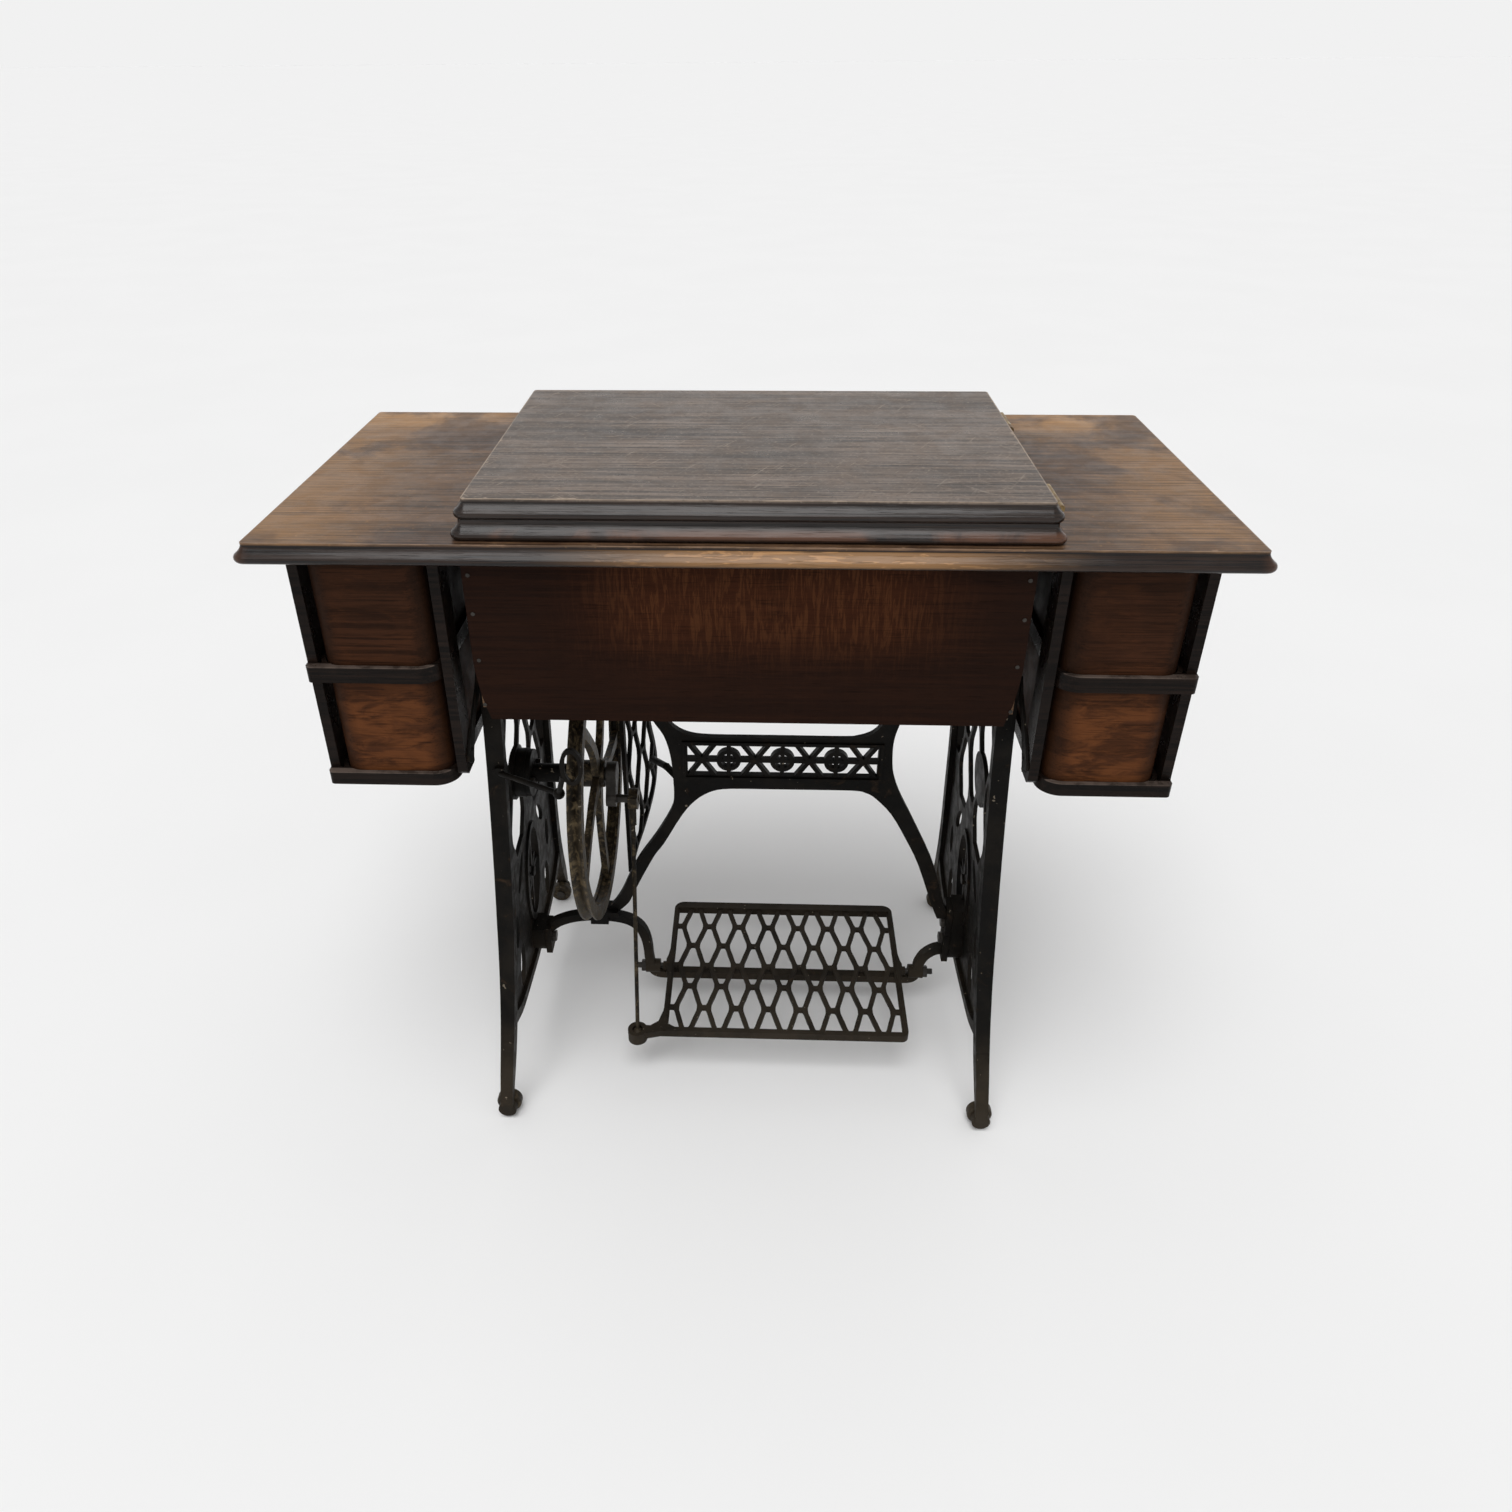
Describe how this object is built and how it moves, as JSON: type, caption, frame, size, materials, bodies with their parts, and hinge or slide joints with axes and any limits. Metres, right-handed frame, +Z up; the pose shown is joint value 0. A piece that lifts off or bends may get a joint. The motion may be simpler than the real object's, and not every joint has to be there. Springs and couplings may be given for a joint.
{
  "type": "treadle sewing table",
  "caption": "Dark oak treadle sewing table: fold-over leaf lid, bentwood drawer stacks and an openwork cast-iron stand with treadle, belt wheel and castors.",
  "frame": {"origin": "on the floor at the middle of the table", "axes": "+Z up, +X to the operator's right along the table, the operator sits at -Y and the plain back faces +Y"},
  "size_m": [0.95, 0.45, 0.8123],
  "materials": {
    "oak_top": "worn satin",
    "oak_dark": "worn satin",
    "oak_apron": "satin",
    "oak_drawer": "satin",
    "oak_inside": "bare, matt",
    "ebonised_wood": "satin",
    "black_iron": "old japanned black, rusty in places",
    "rusty_iron": "worn and rusty",
    "worn_steel": "dull",
    "old_brass": "tarnished"
  },
  "bodies": {
    "stand": {"table_top": "oak_top", "bed_frame": "oak_dark", "lid_hinge_lower_leaves": "old_brass", "lid_hinge_pins": "old_brass", "rear_apron": "oak_apron", "front_apron": "oak_apron", "dust_box_left_side": "oak_inside", "dust_box_right_side": "oak_inside", "dust_box_floor": "oak_inside", "apron_cleats": "oak_inside", "apron_nails": "worn_steel", "left_outer_posts": "ebonised_wood", "left_inner_posts": "ebonised_wood", "right_outer_posts": "ebonised_wood", "right_inner_posts": "ebonised_wood", "left_middle_rail": "ebonised_wood", "left_bottom_rail": "ebonised_wood", "right_middle_rail": "ebonised_wood", "right_bottom_rail": "ebonised_wood", "post_brackets": "black_iron", "left_side_frame": "black_iron", "right_side_frame": "black_iron", "table_screws": "worn_steel", "cross_brace": "black_iron", "treadle_bar": "black_iron", "stand_bolts": "worn_steel", "pivot_screws": "worn_steel", "wheel_bearing": "black_iron", "dress_guard": "black_iron", "belt_guide": "black_iron", "castor_pins": "worn_steel"},
    "lid": {"lid": "oak_dark", "lid_hinge_upper_leaves": "old_brass"},
    "treadle": {"treadle": "black_iron"},
    "pitman": {"pitman_rod": "rusty_iron", "pitman_bearing": "rusty_iron"},
    "wheel": {"belt_wheel": "rusty_iron", "crankshaft": "worn_steel"},
    "left_upper_drawer": {"left_upper_drawer_box": "oak_drawer", "left_upper_drawer_floor": "oak_inside", "left_upper_drawer_front": "oak_drawer", "left_upper_drawer_knob": "ebonised_wood"},
    "left_lower_drawer": {"left_lower_drawer_box": "oak_drawer", "left_lower_drawer_floor": "oak_inside", "left_lower_drawer_front": "oak_drawer", "left_lower_drawer_knob": "ebonised_wood"},
    "right_upper_drawer": {"right_upper_drawer_box": "oak_drawer", "right_upper_drawer_floor": "oak_inside", "right_upper_drawer_front": "oak_drawer", "right_upper_drawer_knob": "ebonised_wood"},
    "right_lower_drawer": {"right_lower_drawer_box": "oak_drawer", "right_lower_drawer_floor": "oak_inside", "right_lower_drawer_front": "oak_drawer", "right_lower_drawer_knob": "ebonised_wood"},
    "castor_left_rear_wheel": {"castor_left_rear": "rusty_iron"},
    "castor_right_rear_wheel": {"castor_right_rear": "rusty_iron"},
    "castor_left_front_wheel": {"castor_left_front": "rusty_iron"},
    "castor_right_front_wheel": {"castor_right_front": "rusty_iron"}
  },
  "joints": [
    {"name": "lid_hinge", "type": "hinge", "parent": "stand", "child": "lid", "pos_m": [-0.29, 0.0088, 0.794], "axis": [0, -1, 0], "range_deg": [0, 180]},
    {"name": "left_upper_drawer_slide", "type": "slide", "parent": "stand", "child": "left_upper_drawer", "axis": [0, -1, 0], "range_m": [0, 0.3]},
    {"name": "left_lower_drawer_slide", "type": "slide", "parent": "stand", "child": "left_lower_drawer", "axis": [0, -1, 0], "range_m": [0, 0.3]},
    {"name": "right_upper_drawer_slide", "type": "slide", "parent": "stand", "child": "right_upper_drawer", "axis": [0, -1, 0], "range_m": [0, 0.3]},
    {"name": "right_lower_drawer_slide", "type": "slide", "parent": "stand", "child": "right_lower_drawer", "axis": [0, -1, 0], "range_m": [0, 0.3]},
    {"name": "wheel_spin", "type": "hinge", "parent": "stand", "child": "wheel", "pos_m": [0.1815, 0.04, 0.408], "axis": [1, 0, 0], "continuous": true},
    {"name": "treadle_rock", "type": "hinge", "parent": "stand", "child": "treadle", "pos_m": [-0.053, 0.01, 0.066], "axis": [1, 0, 0], "range_deg": [-13, 13]},
    {"name": "pitman_swing", "type": "hinge", "parent": "treadle", "child": "pitman", "pos_m": [0.1385, 0.135, 0.066], "axis": [1, 0, 0], "range_deg": [-13.5, 13.5]},
    {"name": "castor_left_rear_roll", "type": "hinge", "parent": "stand", "child": "castor_left_rear_wheel", "pos_m": [-0.29734, 0.2054, 0.0155], "axis": [0, 1, 0], "continuous": true},
    {"name": "castor_right_rear_roll", "type": "hinge", "parent": "stand", "child": "castor_right_rear_wheel", "pos_m": [0.29734, 0.2054, 0.0155], "axis": [0, 1, 0], "continuous": true},
    {"name": "castor_left_front_roll", "type": "hinge", "parent": "stand", "child": "castor_left_front_wheel", "pos_m": [-0.29734, -0.2054, 0.0155], "axis": [0, 1, 0], "continuous": true},
    {"name": "castor_right_front_roll", "type": "hinge", "parent": "stand", "child": "castor_right_front_wheel", "pos_m": [0.29734, -0.2054, 0.0155], "axis": [0, 1, 0], "continuous": true}
  ],
  "couplings": [
    {"joint": "pitman_swing", "follows": "treadle_rock", "ratio": -1}
  ]
}
